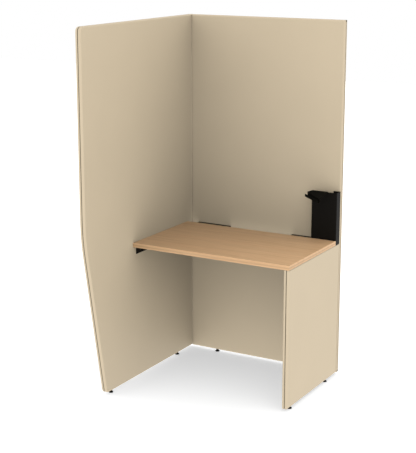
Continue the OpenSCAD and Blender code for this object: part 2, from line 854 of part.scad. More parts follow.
// Device rest: a plate that falls forwards from the post, a slot bent along its turned
// front edge, and a tab behind the post's front wall
module device_rest() {
    fold = post_t * slot_out;
    plate = [
        [rest_x0, post_y0], rest_corner + fold, rest_corner + slot_len * slot_dir + fold,
        [rest_x1, post_y0], [tab_x1, post_y0], [tab_x1, post_y0 + 2 * post_t], [tab_x0, post_y0 + 2 * post_t],
        [tab_x0, post_y0]
    ];
    slot_path = [
        [-slot_w, slot_floor_z + lip_h], [-slot_w, slot_floor_z], [0, slot_floor_z], [0, post_z1 + post_t]
    ];
    color(black) difference() {
        union() {
            on_plate_plane() translate([0, 0, -post_t]) linear_extrude(post_t) polygon(plate);
            slot_place() rotate([90, 0, 90]) linear_extrude(slot_len) polygon(bent_sheet(slot_path, post_t));
            translate([tab_x0, post_y0 + post_t, post_z1 - rest_tab_h])
                cube([tab_x1 - tab_x0, post_t, rest_tab_h + post_t]);
        }
        on_plate_plane() translate([-overall_w, -overall_d, 0]) cube([2 * overall_w, 2 * overall_d, overall_h]);
        for (x = rest_fixing_xs)
            translate([x, post_y0, rest_fixing_z]) rotate([-90, 0, 0])
                cylinder(h = 2 * post_t + 1, r = post_stud_r + hole_gap);
    }
}

// Nuts welded on the channels' webs, one over each foot
module foot_nuts() {
    color(zinc) for (f = feet) translate([f[1], f[2], foot_nut_z0]) hex_nut(foot_nut_r, foot_nut_h, stud_r);
}

// Moulded pad that stays still on the floor while the stud turns in its socket
module foot_pad(f) {
    edge = 1;
    color(black) translate([f[1], f[2], 0]) rotate_extrude() polygon([
        [0, 0], [pad_r - edge, 0], [pad_r, edge], [pad_r, pad_h * 0.45], [pad_r - edge, pad_h * 0.6],
        [pad_neck_r, pad_h], [socket_r, pad_h], [socket_r, socket_z], [0, socket_z]
    ]);
}

// Hexagon collar locked on the stud, for a spanner
module foot_collar(f) {
    color(black) translate([f[1], f[2], collar_z0]) hex_nut(collar_r, collar_z1 - collar_z0, stud_r);
}

// Threaded stud that turns in the pad's socket and in the nut inside the panel
module foot_stud(f) {
    color(black) translate([f[1], f[2], stud_z0]) cylinder(h = stud_z1 - stud_z0, r = stud_r);
}

left_outer_skin();
left_inner_skin();
left_edge_channel();
left_stiffeners();
back_rear_skin();
back_front_skin();
back_edge_channel();
back_stiffeners();
back_corner_plugs();
side_outer_skin();
side_inner_skin();
side_edge_channel();
side_stiffeners();
worktop_board();
worktop_laminate();
worktop_backing();
worktop_edge_band();
support_angle();
side_brackets();
rivet_nuts();
panel_screws();
wood_screws();
joint_bolts();
joint_sleeves();
joint_nuts();
joint_caps();
device_post();
post_studs();
device_rest();
rest_nuts();
foot_nuts();
for (f = feet) {
    foot_pad(f);
    foot_collar(f);
    foot_stud(f);
}
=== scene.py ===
"""Looks of the booth desk: camera, studio, finishes and the pieces made for show."""

import logging
import math
from dataclasses import dataclass
from enum import Enum
from typing import Iterable, Sequence

import bpy
import numpy as np
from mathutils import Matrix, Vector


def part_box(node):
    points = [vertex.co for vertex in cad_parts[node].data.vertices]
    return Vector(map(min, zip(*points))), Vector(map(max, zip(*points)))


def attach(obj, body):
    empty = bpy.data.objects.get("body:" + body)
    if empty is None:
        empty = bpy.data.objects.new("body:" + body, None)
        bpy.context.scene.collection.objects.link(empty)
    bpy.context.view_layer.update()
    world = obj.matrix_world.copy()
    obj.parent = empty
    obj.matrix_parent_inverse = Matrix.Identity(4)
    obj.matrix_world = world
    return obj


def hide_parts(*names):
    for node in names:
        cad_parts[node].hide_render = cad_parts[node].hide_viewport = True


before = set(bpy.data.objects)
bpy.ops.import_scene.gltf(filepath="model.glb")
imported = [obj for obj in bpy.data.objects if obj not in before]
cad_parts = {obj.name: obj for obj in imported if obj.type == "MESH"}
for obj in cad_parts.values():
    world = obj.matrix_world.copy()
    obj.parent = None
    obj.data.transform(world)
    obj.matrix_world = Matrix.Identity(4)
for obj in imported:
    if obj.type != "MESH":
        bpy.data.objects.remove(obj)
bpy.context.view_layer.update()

logging.basicConfig(level=logging.INFO, format="%(message)s")
log = logging.getLogger("booth_desk")

Colour = tuple[float, float, float]
LinearColour = Sequence[float]
Socket = bpy.types.NodeSocket
Material = bpy.types.Material

# Sizes and places of the pieces are in millimetres on the frame's axes, those of the studio in metres.
MM = 0.001
WHITE = (1.0, 1.0, 1.0, 1.0)
# Edges that turn by more degrees stay sharp.
SHARP_ANGLE = 35.0
NO_TRIS = np.zeros((0, 3), int)
# The values between which most of a noise texture lies, and a narrower pair for stronger contrast.
NOISE_SPAN = (0.3, 0.7)
NOISE_CORE = (0.35, 0.65)


def to_linear(level: float) -> float:
    """Display level 0 to 255 as scene-linear light: ((c + 0.055) / 1.055) ^ 2.4 above the toe."""
    c = level / 255.0
    return c / 12.92 if c <= 0.04045 else ((c + 0.055) / 1.055) ** 2.4


def shade(red: float, green: float, blue: float) -> LinearColour:
    """A display colour, 0 to 255 a channel, as a scene-linear colour with alpha 1."""
    return (to_linear(red), to_linear(green), to_linear(blue), 1.0)


def toned(colour: LinearColour, factor: float, lift: float = 0.0) -> LinearColour:
    """A linear colour times a factor plus a lift, each channel held at 1, with alpha 1."""
    return [min(1.0, c * factor + lift) for c in colour[:3]] + [1.0]


def enter(name: str, data: bpy.types.ID) -> bpy.types.Object:
    """Puts a mesh or a camera into the scene as an object.

    Args:
        name: the object's name.
        data: the mesh or the camera.

    Returns:
        The object.
    """
    entered = bpy.data.objects.new(name, data)
    bpy.context.scene.collection.objects.link(entered)
    return entered


class NodeSketch:
    """Short-hand for building a node tree."""

    def __init__(self, tree: bpy.types.NodeTree) -> None:
        """Takes up a node tree and empties it."""
        self.tree = tree
        self.tree.nodes.clear()

    def add(self, kind: str, **values: object) -> bpy.types.Node:
        """Adds a node and sets its inputs.

        Args:
            kind: what Blender calls the node, without the word ShaderNode before it.
            values: what its inputs get, by their names with an underscore for a space.

        Returns:
            The node.
        """
        node = self.tree.nodes.new("ShaderNode" + kind)
        for name, value in values.items():
            node.inputs[name.replace("_", " ")].default_value = value
        return node

    def link(self, source: Socket, target: Socket) -> None:
        """Links one socket to another."""
        self.tree.links.new(source, target)

    def levels(self, factor: Socket, span: tuple[float, float], values: tuple[float, float]) -> Socket:
        """Maps a factor from one span to another, held at its ends.

        Args:
            factor: the socket read.
            span: the factor at the lower and at the upper end.
            values: the value given at the lower and at the upper end.

        Returns:
            The socket with the value.
        """
        node = self.add("MapRange", From_Min=span[0], From_Max=span[1], To_Min=values[0], To_Max=values[1])
        self.link(factor, node.inputs["Value"])
        return node.outputs[0]


class MaterialSketch(NodeSketch):
    """Short-hand for building one material."""

    def __init__(self, name: str) -> None:
        """Makes an empty material with a Principled shader and its output.

        Args:
            name: the material's name.
        """
        self.material = bpy.data.materials.new(name)
        self.material.use_nodes = True
        super().__init__(self.material.node_tree)
        self.output = self.add("OutputMaterial")
        self.shader = self.add("BsdfPrincipled")
        self.link(self.shader.outputs[0], self.output.inputs[0])
        self.coords = self.add("TexCoord")

    def feed(self, name: str, source: Socket) -> None:
        """Links a socket to the shader's input of that name."""
        self.link(source, self.shader.inputs[name])

    def fix(self, name: str, value: float | LinearColour) -> None:
        """Sets the shader's input of that name to a value."""
        self.shader.inputs[name].default_value = value

    def mapping(self, scale: Sequence[float] = (1, 1, 1)) -> Socket:
        """Object coordinates times a factor on each axis.

        Args:
            scale: factors on x, y and z.

        Returns:
            The socket with the mapped vector.
        """
        node = self.add("Mapping", Scale=scale)
        self.link(self.coords.outputs["Object"], node.inputs["Vector"])
        return node.outputs[0]

    def noise(self, vector: Socket, scale: float, detail: float, rough: float = 0.5,
              distortion: float = 0.0) -> Socket:
        """Fractal noise read at a vector.

        Args:
            vector: socket that gives the place.
            scale: cycles for each metre of the vector.
            detail: number of octaves.
            rough: how strongly the higher octaves show.
            distortion: how far the pattern is pushed about.

        Returns:
            The socket with the noise, 0 to 1.
        """
        node = self.add("TexNoise", Scale=scale, Detail=detail, Roughness=rough, Distortion=distortion)
        self.link(vector, node.inputs["Vector"])
        return node.outputs["Fac"]

    def height(self, low: float, high: float) -> Socket:
        """Place between two heights on the object.

        Args:
            low: height in metres that gives 0.
            high: height in metres that gives 1.

        Returns:
            The socket with the place, 0 to 1.
        """
        split = self.add("SeparateXYZ")
        self.link(self.coords.outputs["Object"], split.inputs[0])
        return self.levels(split.outputs[2], (low, high), (0.0, 1.0))

    def ramp(self, factor: Socket, places: Sequence[float], colours: Sequence[LinearColour]) -> Socket:
        """Colour ramp over a factor.

        Args:
            factor: socket that picks the place on the ramp.
            places: the ramp's stops, 0 to 1.
            colours: the colour at each stop.

        Returns:
            The socket with the colour.
        """
        node = self.add("ValToRGB")
        band = node.color_ramp
        while len(band.elements) > 1:
            band.elements.remove(band.elements[-1])
        band.elements[0].position = places[0]
        band.elements[0].color = colours[0]
        for place, colour in zip(places[1:], colours[1:]):
            band.elements.new(place).color = colour
        self.link(factor, node.inputs[0])
        return node.outputs[0]

    def multiply(self, first: Socket, second: Socket, share: float = 1.0) -> Socket:
        """Multiplies one colour by another.

        Args:
            first: the socket with the colour.
            second: the socket with what it is multiplied by.
            share: how much of the effect shows, 0 to 1.

        Returns:
            The socket with the product.
        """
        node = self.add("Mix")
        node.data_type = "RGBA"
        node.blend_type = "MULTIPLY"
        node.inputs[0].default_value = share
        self.link(first, node.inputs[6])
        self.link(second, node.inputs[7])
        return node.outputs[2]

    def bump(self, height: Socket, distance: float, strength: float = 1.0) -> None:
        """Gives the shader a bump from a height.

        Args:
            height: socket with the height, 0 to 1.
            distance: what a height of 1 stands for, in metres.
            strength: share of the effect.
        """
        node = self.add("Bump", Distance=distance, Strength=strength)
        self.link(height, node.inputs["Height"])
        self.feed("Normal", node.outputs[0])


@dataclass(frozen=True)
class PowderCoat:
    """Baked powder paint: even colour, fine orange peel, faint cloudiness."""

    name: str
    colour: Colour
    cloud: float = 0.012
    roughness: float = 0.5
    grain_mm: float = 1.2
    relief_mm: float = 0.01
    sheen_level: float = 0.5
    clouds_per_m: float = 4.0
    roughness_swing: float = 0.04

    def build(self) -> Material:
        """Noise of a millimetre makes the peel, noise of decimetres the clouds.

        Returns:
            The material.
        """
        look = MaterialSketch(self.name)
        place = look.mapping()
        clouds = look.noise(place, self.clouds_per_m, detail=3.0)
        base = shade(*self.colour)
        tones = (toned(base, 1 - self.cloud), toned(base, 1 + self.cloud))
        look.feed("Base Color", look.ramp(clouds, NOISE_SPAN, tones))
        peel = look.noise(place, 1.0 / (self.grain_mm * MM), detail=2.0)
        swing = (self.roughness - self.roughness_swing, self.roughness + self.roughness_swing)
        look.feed("Roughness", look.levels(peel, NOISE_SPAN, swing))
        look.fix("Specular IOR Level", self.sheen_level)
        look.bump(peel, self.relief_mm * MM)
        return look.material


@dataclass(frozen=True)
class WoodLaminate:
    """Printed wood grain along x under a satin face: long streaks, pores and slow changes of tone.

    Painted light strips are pairs of height in metres and brightness, for a band with painted highlight and
    painted shade in strips along its length.
    """

    name: str
    light: Colour
    middle: Colour
    dark: Colour
    roughness: float = 0.42
    pore: float = 0.6
    painted_light_strips: Sequence[tuple[float, float]] = ()
    stretch: tuple[float, float, float] = (1.0, 22.0, 22.0)
    streaks_per_m: float = 2.4
    pores_per_m: float = 3.0
    pore_stretch: float = 4.0
    wash_per_m: float = 3.0
    wash_stretch: float = 0.25
    tone_stops: tuple[float, float, float] = (0.30, 0.5, 0.72)
    pore_stops: tuple[float, float] = (0.34, 0.46)
    pore_tint: LinearColour = (0.80, 0.78, 0.74, 1)
    wash_tint: LinearColour = (0.95, 0.95, 0.94, 1)
    pore_gloss_span: tuple[float, float] = (0.3, 0.6)
    pore_roughness: float = 0.08
    pore_relief_mm: float = 0.02
    sheen_level: float = 0.4

    def build(self) -> Material:
        """Noise stretched along the grain makes the streaks, with fine pores and a slow tone over it.

        Returns:
            The material.
        """
        look = MaterialSketch(self.name)
        pore_scale = [k * self.pore_stretch for k in self.stretch]
        wash_scale = [k * self.wash_stretch for k in self.stretch]
        streaks = look.noise(
            look.mapping(self.stretch), self.streaks_per_m, detail=6.0, rough=0.62, distortion=0.6)
        fine = look.noise(look.mapping(pore_scale), self.pores_per_m, detail=5.0, rough=0.6)
        slow = look.noise(look.mapping(wash_scale), self.wash_per_m, detail=2.0)
        tones = [shade(*colour) for colour in (self.dark, self.middle, self.light)]
        tone = look.ramp(streaks, self.tone_stops, tones)
        pores = look.ramp(fine, self.pore_stops, (self.pore_tint, WHITE))
        wash = look.ramp(slow, NOISE_CORE, (self.wash_tint, WHITE))
        colour = look.multiply(look.multiply(tone, pores, self.pore), wash)
        # Painted highlight and shade: strips across the band's height, lighter near its lower and upper
        # edges, darker between.
        if self.painted_light_strips:
            low, high = self.painted_light_strips[0][0], self.painted_light_strips[-1][0]
            places = [(z - low) / (high - low) for z, _ in self.painted_light_strips]
            strip_highlight_and_shade = look.ramp(look.height(low, high), places, [(k, k, k, 1) for _, k in self.painted_light_strips])
            colour = look.multiply(colour, strip_highlight_and_shade)
        look.feed("Base Color", colour)
        gloss = (self.roughness + self.pore_roughness, self.roughness)
        look.feed("Roughness", look.levels(fine, self.pore_gloss_span, gloss))
        look.fix("Specular IOR Level", self.sheen_level)
        look.bump(fine, self.pore_relief_mm * MM, strength=0.6)
        return look.material


@dataclass(frozen=True)
class ZincPlate:
    """Bright zinc on steel: metallic, slightly mottled, with a fine rough skin."""

    name: str
    colour: Colour
    roughness: float = 0.38
    dull_share: float = 0.86
    spangles_per_m: float = 300.0
    skin_per_m: float = 1500.0
    skin_relief_mm: float = 0.01
    rougher: float = 0.1
    smoother: float = 0.05

    def build(self) -> Material:
        """One fine noise varies the metal's tone and roughness, a finer one its relief.

        Returns:
            The material.
        """
        look = MaterialSketch(self.name)
        place = look.mapping()
        spangle = look.noise(place, self.spangles_per_m, detail=3.0)
        base = shade(*self.colour)
        look.feed("Base Color", look.ramp(spangle, NOISE_CORE, (toned(base, self.dull_share), base)))
        look.fix("Metallic", 1.0)
        swing = (self.roughness + self.rougher, self.roughness - self.smoother)
        look.feed("Roughness", look.levels(spangle, NOISE_SPAN, swing))
        skin = look.noise(place, self.skin_per_m, detail=2.0)
        look.bump(skin, self.skin_relief_mm * MM, strength=0.5)
        return look.material


@dataclass(frozen=True)
class MouldedPlastic:
    """Moulded plastic with a spark-eroded skin."""

    name: str
    colour: Colour
    roughness: float = 0.55
    sheen_level: float = 0.12
    grains_per_m: float = 1800.0
    grain_relief_mm: float = 0.02
    marks_per_m: float = 60.0
    mark_stops: tuple[float, float] = (0.4, 0.75)
    rougher: float = 0.08
    smoother: float = 0.05

    def build(self) -> Material:
        """A fine noise makes the moulded skin, a coarse one its slightly lighter, handled places.

        Returns:
            The material.
        """
        look = MaterialSketch(self.name)
        place = look.mapping()
        skin = look.noise(place, self.grains_per_m, detail=3.0)
        base = shade(*self.colour)
        worn = toned(base, factor=1.25, lift=0.002)
        marks = look.noise(place, self.marks_per_m, detail=3.0)
        look.feed("Base Color", look.ramp(marks, self.mark_stops, (base, worn)))
        swing = (self.roughness + self.rougher, self.roughness - self.smoother)
        look.feed("Roughness", look.levels(skin, NOISE_SPAN, swing))
        look.fix("Specular IOR Level", self.sheen_level)
        look.bump(skin, self.grain_relief_mm * MM)
        return look.material


@dataclass(frozen=True)
class ChipBoard:
    """Raw edge and face of pressed wood chips."""

    name: str
    light: Colour
    dark: Colour
    chips_per_m: float = 260.0
    chip_stretch: tuple[float, float, float] = (1, 1, 2.2)
    chip_relief_mm: float = 0.1
    tone_stops: tuple[float, float] = (0.1, 0.9)
    roughness: float = 0.85

    def build(self) -> Material:
        """Cells of a few millimetres are the chips, each with its own tone and height.

        Returns:
            The material.
        """
        look = MaterialSketch(self.name)
        chips = look.add("TexVoronoi", Scale=self.chips_per_m)
        look.link(look.mapping(self.chip_stretch), chips.inputs["Vector"])
        draw = look.add("SeparateColor")
        look.link(chips.outputs["Color"], draw.inputs[0])
        tones = (shade(*self.dark), shade(*self.light))
        look.feed("Base Color", look.ramp(draw.outputs[0], self.tone_stops, tones))
        look.fix("Roughness", self.roughness)
        look.bump(draw.outputs[1], self.chip_relief_mm * MM, strength=0.6)
        return look.material


class Finish(Enum):
    """Every finish on the object, by the record's material slot."""

    PANEL_COAT = PowderCoat("panel_coat", (214, 197, 169), roughness=0.55, sheen_level=0.3)
    # The seam channels' beige coat, made darker than the panel coat as painted shade inside the seam.
    GROOVE_COAT_PAINTED_SHADE = PowderCoat("groove_coat", (176, 158, 128), roughness=0.7, sheen_level=0.2)
    BLACK_COAT = PowderCoat(
        "black_coat", (22, 20, 17), cloud=0.06, roughness=0.42, grain_mm=1.0, sheen_level=0.07)
    MATT_BLACK = PowderCoat(
        "matt_black", (29, 27, 23), cloud=0.06, roughness=0.75, grain_mm=1.0, relief_mm=0.02, sheen_level=0.0)
    BLACK_SCREW = PowderCoat("black_screw", (34, 33, 35), cloud=0.08, roughness=0.42, grain_mm=0.6)
    WOOD_LAMINATE = WoodLaminate(
        "wood_laminate", (233, 192, 148), (227, 184, 139), (215, 170, 125), pore=0.45)
    # The wood edge's strips are painted highlights near the band's lower and upper edges and a painted shade
    # line between them.
    WOOD_EDGE = WoodLaminate(
        "wood_edge", (233, 193, 148), (227, 185, 140), (215, 171, 127), pore=0.5,
        painted_light_strips=((0.697, 0.93), (0.7005, 1.03), (0.7035, 1.02), (0.7070, 0.80), (0.7105, 0.92),
               (0.7145, 1.06), (0.7200, 1.06)))
    BACKING_SHEET = WoodLaminate(
        "backing_sheet", (206, 176, 138), (200, 170, 132), (192, 160, 122), roughness=0.6)
    PARTICLE_BOARD = ChipBoard("particle_board", (214, 180, 130), (150, 116, 74))
    ZINC_STEEL = ZincPlate("zinc_steel", (196, 198, 202))
    FOOT_STEEL = ZincPlate("foot_steel", (32, 31, 32), roughness=0.5)
    BLACK_PLASTIC = MouldedPlastic("black_plastic", (12, 12, 12))
    CAP_PLASTIC = MouldedPlastic("cap_plastic", (218, 200, 170))

    def material(self) -> Material:
        """The finish's material, built the first time it is asked for.

        Returns:
            The material.
        """
        found = bpy.data.materials.get(self.value.name + "_look")
        if found is None:
            found = self.value.build()
            found.name = self.value.name + "_look"
        return found


def dress(nodes: Iterable[str], finish: Finish) -> None:
    """Gives CAD nodes a finish on their one material slot.

    Args:
        nodes: names of the nodes.
        finish: the finish they get.
    """
    for name in nodes:
        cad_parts[name].data.materials[0] = finish.material()
        log.info("dressed %s as %s", name, finish.name.lower())


@dataclass(frozen=True)
class Form:
    """A closed surface as arrays: points in millimetres, its triangles and its quads."""

    points: np.ndarray
    tris: np.ndarray
    quads: np.ndarray

    @classmethod
    def turned(cls, rings: np.ndarray, first: float, last: float) -> "Form":
        """A closed form round the z axis, from one pole over its rings to the other pole.

        Ring k and ring k + 1 are joined by one quad a step, and each pole by one triangle a step.
        Faces look to the left of the way that the rings go, which is outwards for a way that
        starts on top.

        Args:
            rings: array of rings by steps by 3.
            first: height of the pole before the first ring.
            last: height of the pole after the last ring.

        Returns:
            The form.
        """
        count, steps, _ = rings.shape
        i = np.arange(steps)
        j = (i + 1) % steps
        end = 1 + steps * (count - 1)
        points = np.concatenate([[[0.0, 0.0, first]], rings.reshape(-1, 3), [[0.0, 0.0, last]]])
        first_pole, last_pole = np.zeros_like(i), np.full_like(i, len(points) - 1)
        lids = [np.stack([first_pole, 1 + i, 1 + j], 1), np.stack([end + j, end + i, last_pole], 1)]
        base = 1 + steps * np.arange(count - 1)[:, None]
        quads = np.stack([base + i, base + steps + i, base + steps + j, base + j], 2).reshape(-1, 4)
        return cls(points, np.concatenate(lids), quads)

    @classmethod
    def looped(cls, rings: np.ndarray) -> "Form":
        """A closed form with a bore: as turned, but the last ring joins the first.

        Args:
            rings: array of rings by steps by 3, up the bore first and then over the top.

        Returns:
            The form.
        """
        count, steps, _ = rings.shape
        i = np.arange(steps)
        j = (i + 1) % steps
        here = steps * np.arange(count)[:, None]
        there = steps * ((np.arange(count) + 1) % count)[:, None]
        quads = np.stack([here + i, there + i, there + j, here + j], 2).reshape(-1, 4)
        return cls(rings.reshape(-1, 3), NO_TRIS, quads)

    def placed(self, origin: Sequence[float], outward: Sequence[float] = (0, 0, 1)) -> "Form":
        """The form with its z axis turned to a direction and its origin moved.

        Its x axis becomes the cross product of y with that direction, or of z with it where the
        direction is near y.

        Args:
            origin: where the form's origin goes, in millimetres.
            outward: where its z axis goes.

        Returns:
            The placed form.
        """
        z = np.asarray(outward, float)
        z = z / np.linalg.norm(z)
        x = np.cross((0.0, 1.0, 0.0) if abs(z[1]) < 0.9 else (0.0, 0.0, 1.0), z)
        x = x / np.linalg.norm(x)
        turn = np.stack([x, np.cross(z, x), z], 1)
        return Form(self.points @ turn.T + np.asarray(origin, float), self.tris, self.quads)

    @classmethod
    def joined(cls, forms: Sequence["Form"]) -> "Form":
        """Several forms as one, each one's faces shifted by the points before it.

        Args:
            forms: the forms.

        Returns:
            The joined form.
        """
        starts = np.cumsum([0] + [len(f.points) for f in forms[:-1]])
        return cls(
            np.concatenate([f.points for f in forms]),
            np.concatenate([f.tris + n for f, n in zip(forms, starts)]),
            np.concatenate([f.quads + n for f, n in zip(forms, starts)]),
        )

    def show(self, name: str, finish: Finish, body: str, nodes: Sequence[str] = ()) -> None:
        """Makes the form a piece of the scene, which rides on a body and stands for CAD nodes.

        Args:
            name: the piece's name.
            finish: its finish.
            body: the body that it rides on.
            nodes: the CAD nodes that it stands for, if any.
        """
        mesh = bpy.data.meshes.new(name)
        mesh.from_pydata((self.points * MM).tolist(), [], self.tris.tolist() + self.quads.tolist())
        mesh.shade_smooth()
        mesh.set_sharp_from_angle(angle=math.radians(SHARP_ANGLE))
        mesh.materials.append(finish.material())
        piece = enter(name, mesh)
        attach(piece, body)
        if nodes:
            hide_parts(*nodes)
        log.info("made %s: %d points for %s", name, len(self.points), ", ".join(nodes) or "the scene alone")


def circle_grid(radii: np.ndarray, heights: np.ndarray, steps: int) -> np.ndarray:
    """Rings round the z axis: x = r cos t and y = r sin t at each ring's radius and height.

    Args:
        radii: one radius a ring, or rings by steps.
        heights: one height a ring, or rings by steps.
        steps: number of points in a ring.

    Returns:
        Array of rings by steps by 3.
    """
    t = 2 * np.pi * np.arange(steps) / steps
    r = np.asarray(radii, float)
    z = np.asarray(heights, float)
    r = r[:, None] * np.ones(steps) if r.ndim == 1 else r
    z = z[:, None] * np.ones(steps) if z.ndim == 1 else z
    return np.stack([r * np.cos(t), r * np.sin(t), z], 2)


@dataclass(frozen=True)
class CrossHeadScrew:
    """Screw with a domed head and a cross recess; its head stands on z = 0 and looks along z.

    The recess's reach and depth are shares of the head's radius and height, and depth_loss is the
    share of the depth that is gone at the wings' tips.
    """

    head_r: float
    head_h: float
    shank_r: float
    length: float
    wing: float = 0.5
    wall: float = 0.2
    reach_share: float = 0.52
    depth_share: float = 0.72
    depth_loss: float = 0.55
    tip: float = 1.0
    tip_taper: float = 0.6
    rows: int = 26
    steps: int = 64

    def form(self) -> Form:
        """The screw's closed surface.

        The dome is a quarter ellipse: r = R sin b and z = H cos b. The recess lowers it by a depth
        that falls from the middle to the wings' tips, wherever the smaller of |x| and |y| is less
        than the wing's half width and the distance from the axis less than the wings' reach. Both
        limits are ramps as wide as the wall, which are the recess's drafted walls.

        Returns:
            The form.
        """
        b = np.linspace(0, np.pi / 2, self.rows + 1)[1:-1]
        dome = circle_grid(self.head_r * np.sin(b), self.head_h * np.cos(b), self.steps)
        reach = self.head_r * self.reach_share
        near = np.minimum(np.abs(dome[..., 0]), np.abs(dome[..., 1]))
        far = np.hypot(dome[..., 0], dome[..., 1])
        across = np.clip((self.wing + self.wall - near) / self.wall, 0, 1)
        along = np.clip((reach + self.wall - far) / self.wall, 0, 1)
        deep = self.head_h * self.depth_share * (1 - self.depth_loss * far / reach)
        dome[..., 2] -= across * along * np.clip(deep, 0, None)
        below = circle_grid(
            np.array([self.head_r, self.shank_r, self.shank_r, self.shank_r - self.tip_taper]),
            np.array([0.0, 0.0, self.tip - self.length, -self.length]), self.steps)
        middle = self.head_h * (1 - self.depth_share)
        return Form.turned(np.concatenate([dome, below]), middle, -self.length)


@dataclass(frozen=True)
class ThreadedRod:
    """Rod with a real screw thread, from z = 0 to its length."""

    radius: float
    pitch: float
    length: float
    depth_share: float = 0.55
    flank: float = 1.3
    crest: float = 0.15
    chamfer: float = 0.9
    steps: int = 32
    rows_per_turn: int = 8

    def form(self) -> Form:
        """The rod's closed surface.

        The thread's place is the broken part of z / pitch - t / turn, and the radius falls from
        the crest by the depth times how far that place is from the crest, held flat at crest and
        root. Each end is cut by a cone that starts at the root's radius and widens by the chamfer
        a millimetre.

        Returns:
            The form.
        """
        rows = int(round(self.length / self.pitch * self.rows_per_turn)) + 1
        z = np.linspace(self.length, 0, rows)[:, None] * np.ones(self.steps)
        turn = np.arange(self.steps) / self.steps
        away = np.abs(2 * np.mod(z / self.pitch - turn, 1) - 1)
        depth = self.depth_share * self.pitch
        r = self.radius - depth * np.clip(self.flank * away - self.crest, 0, 1)
        end = np.minimum(z, self.length - z)
        r = np.minimum(r, self.radius - depth + self.chamfer * end)
        return Form.turned(circle_grid(r, z, self.steps), self.length, 0.0)


@dataclass(frozen=True)
class HexagonNut:
    """Hexagon with a bore and chamfered corners, from z = 0 to its height."""

    corner_r: float
    bore_r: float
    height: float
    bore_chamfer: float = 0.4
    flat_share: float = 0.97
    corner_fall: float = 0.55
    steps: int = 72

    def form(self) -> Form:
        """The nut's closed surface.

        The hexagon's radius is its apothem over the cosine of the angle from the nearest flat's
        middle. Past the end face's round flat, both ends fall by the corner fall a millimetre, so
        each corner gets its curved edge.

        Returns:
            The form.
        """
        t = 2 * np.pi * np.arange(self.steps) / self.steps
        apothem = self.corner_r * math.cos(math.pi / 6)
        edge = apothem / np.cos(np.mod(t, np.pi / 3) - np.pi / 6)
        one = np.ones(self.steps)
        flat = apothem * self.flat_share * one
        fall = self.corner_fall * (edge - flat)
        bore = self.bore_r * one
        mouth = (self.bore_r + self.bore_chamfer) * one
        low, high = self.bore_chamfer * one, (self.height - self.bore_chamfer) * one
        floor, top = 0 * one, self.height * one
        radii = np.stack([bore, bore, mouth, flat, edge, edge, flat, mouth])
        heights = np.stack([low, high, top, top, top - fall, fall, floor, floor])
        return Form.looped(circle_grid(radii, heights, self.steps))


@dataclass(frozen=True)
class FootPad:
    """Moulded foot pad with a ribbed rim, a waist and a socket for the stud."""

    radius: float = 12.0
    height: float = 8.0
    neck_r: float = 6.5
    socket_r: float = 4.05
    socket_z: float = 3.0
    ribs: int = 20
    groove: float = 0.55
    groove_power: int = 8
    steps: int = 160

    def form(self) -> Form:
        """The pad's closed surface.

        The profile goes up the socket, over the neck, down the flared cone and round the rim, as
        radius, height and share of the groove. The grooves lower the radius by their depth times
        the eighth power of the cosine of half the ribs' angle, which leaves rounded ribs.

        Returns:
            The form.
        """
        profile = np.array([
            (self.socket_r, self.socket_z, 0), (self.socket_r, self.height - 0.4, 0),
            (self.socket_r + 0.4, self.height, 0), (self.neck_r - 0.6, self.height, 0),
            (self.neck_r, self.height - 0.5, 0), (self.neck_r + 0.5, 6.2, 0), (8.2, 5.0, 0), (9.9, 4.4, 0.2),
            (11.2, 4.2, 0.7), (11.8, 3.8, 1), (self.radius, 3.3, 1), (self.radius, 1.2, 1),
            (11.8, 0.6, 1), (11.2, 0.15, 0.7), (10.4, 0.0, 0.3), (9.4, 0.0, 0),
        ])
        t = 2 * np.pi * np.arange(self.steps) / self.steps
        groove = self.groove * np.cos(self.ribs * t / 2) ** self.groove_power
        radii = profile[:, :1] - profile[:, 2:] * groove
        heights = profile[:, 1:2] * np.ones(self.steps)
        return Form.turned(circle_grid(radii, heights, self.steps), self.socket_z, 0.0)


